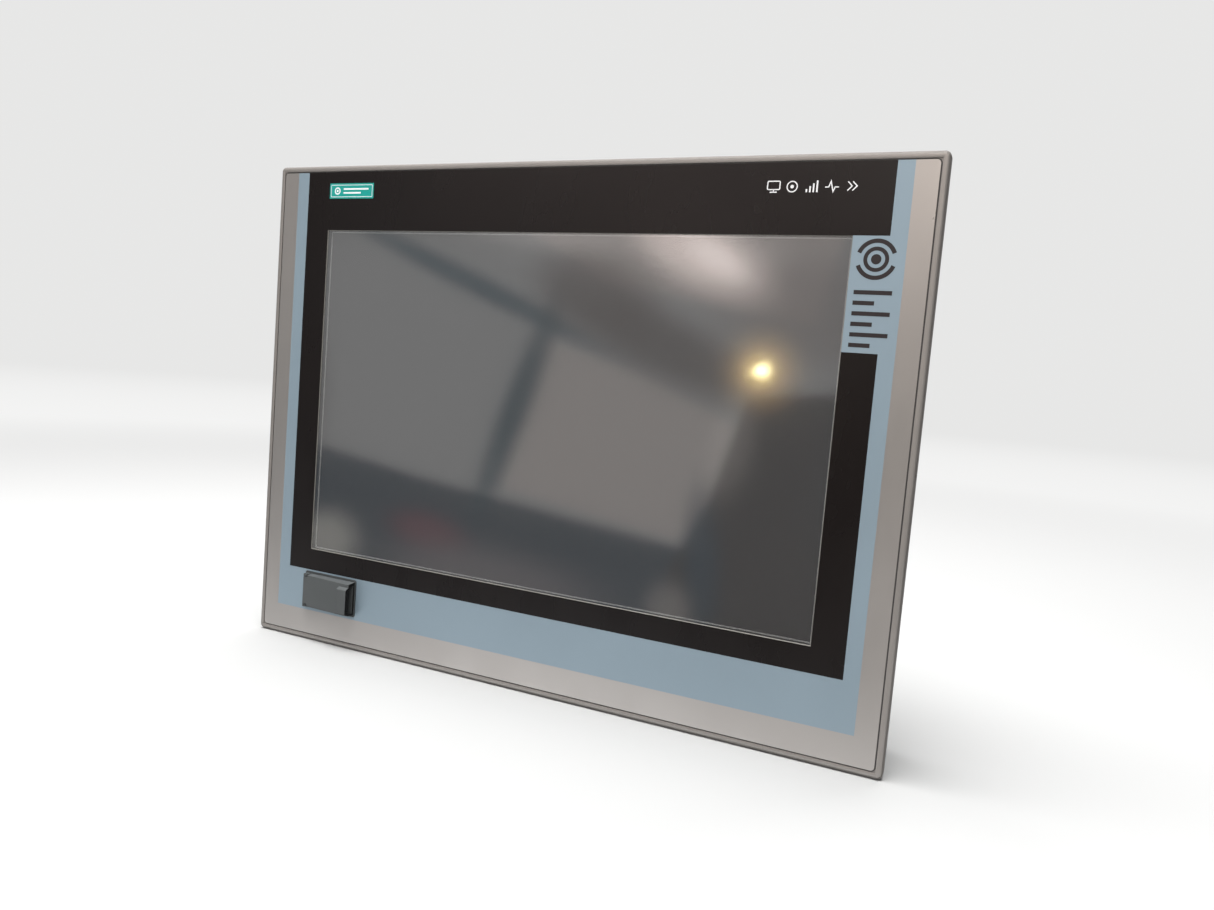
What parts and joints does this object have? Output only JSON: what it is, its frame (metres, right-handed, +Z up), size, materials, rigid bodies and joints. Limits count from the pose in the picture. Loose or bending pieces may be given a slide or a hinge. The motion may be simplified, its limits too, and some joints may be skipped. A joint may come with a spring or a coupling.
{
  "type": "hmi touch panel",
  "caption": "Built-in operator panel with a wide touch display in an aluminium front, a hinged port flap, and a sealed steel computer housing with a finned heat sink behind.",
  "frame": {"origin": "centre of the cabinet cut-out, on the plane where the seal meets the cabinet door", "axes": "+X to the right seen from the front, +Y back into the cabinet, +Z up"},
  "size_m": [0.415, 0.0839, 0.31],
  "materials": {
    "frame_metal": "satin, fine bead-blasted grey",
    "foil_print": "fine-grained printed polyester in silver, blue-grey and black",
    "touch_glass": "anti-glare, faintly hazy",
    "tape": "dull black foam",
    "seal_rubber": "dull black",
    "display_steel": "thin stainless sheet",
    "display_cell": "dark polarised cell",
    "guide_acrylic": "milky acrylic and films",
    "tray_metal": "pressed sheet",
    "zinc_steel": "zinc-plated",
    "board_green": "solder mask with soldered components",
    "tail_film": "amber film",
    "cable_grey": "dull jacket",
    "cable_dark": "dull black jacket",
    "cable_blue": "dull blue jacket",
    "port_plastic": "fine spark-eroded dark grey",
    "flap_plastic": "fine spark-eroded dark grey",
    "connector_metal": "nickel-plated, satin",
    "connector_blue": "dull moulded blue",
    "connector_black": "dull moulded black",
    "connector_green": "dull moulded green",
    "tub_steel": "galvanised, faint spangle",
    "cover_steel": "galvanised, faint spangle",
    "screw_steel": "zinc-plated",
    "package": "processor carrier and die",
    "spreader_metal": "milled",
    "module_green": "solder mask with memory chips",
    "drive_case": "satin dark grey",
    "sink_metal": "dark anodised extrusion",
    "cell_steel": "polished can",
    "switch_black": "dull moulded black",
    "rocker_black": "smooth moulded black",
    "door_plastic": "fine textured mid grey",
    "stud_brass": "plain",
    "plate_metal": "blank satin foil"
  },
  "bodies": {
    "panel": {"front_frame": "frame_metal", "front_foil": "foil_print", "touch_glass": "touch_glass", "touch_tape": "tape", "panel_seal": "seal_rubber", "display_bezel": "display_steel", "lcd_cell": "display_cell", "light_guide": "guide_acrylic", "display_tray": "tray_metal", "display_brackets": "zinc_steel", "touch_board": "board_green", "touch_tail": "tail_film", "touch_cable": "cable_grey", "display_cable": "cable_grey", "usb_port_frame": "port_plastic", "usb_shell": "connector_metal", "usb_tongue": "connector_blue", "usb_board": "board_green", "usb_cable": "cable_grey", "usb_hinge_pin": "screw_steel", "rear_housing": "tub_steel", "housing_screws": "screw_steel", "internal_screws": "screw_steel", "carrier_plate": "zinc_steel", "carrier_posts": "zinc_steel", "mainboard": "board_green", "board_posts": "zinc_steel", "processor": "package", "heat_spreader": "spreader_metal", "memory_socket": "connector_black", "memory_module": "module_green", "ssd_drive": "drive_case", "ssd_bracket": "zinc_steel", "ssd_cable": "cable_blue", "power_board": "board_green", "power_posts": "zinc_steel", "power_cable": "cable_dark", "dc_inlet": "connector_green", "ethernet_sockets": "connector_metal", "rear_usb_shells": "connector_metal", "rear_usb_tongues": "connector_blue", "display_port_shell": "connector_metal", "display_port_tongue": "connector_black", "serial_shell": "connector_metal", "serial_insert": "connector_black", "battery_holder": "connector_black", "battery_cell": "cell_steel", "switch_body": "switch_black", "io_bracket": "zinc_steel", "rear_cover": "cover_steel", "cover_screws": "screw_steel", "heat_sink": "sink_metal", "heat_sink_screws": "screw_steel", "battery_door_pin": "screw_steel", "earth_stud": "stud_brass", "type_plate": "plate_metal"},
    "port_flap": {"usb_flap": "flap_plastic", "usb_flap_seal": "seal_rubber"},
    "power_rocker": {"switch_rocker": "rocker_black"},
    "battery_flap": {"battery_door": "door_plastic"}
  },
  "joints": [
    {"name": "port_flap_hinge", "type": "hinge", "parent": "panel", "child": "port_flap", "pos_m": [-0.16625, -0.0105, -0.121], "axis": [0, 0, -1], "range_deg": [0, 110]},
    {"name": "power_rocker_tilt", "type": "hinge", "parent": "panel", "child": "power_rocker", "pos_m": [-0.078, 0.0269, -0.1396], "axis": [0, 1, 0], "range_deg": [0, 20]},
    {"name": "battery_door_hinge", "type": "hinge", "parent": "panel", "child": "battery_flap", "pos_m": [0.09, 0.0417, -0.1192], "axis": [-1, 0, 0], "range_deg": [0, 100]}
  ]
}
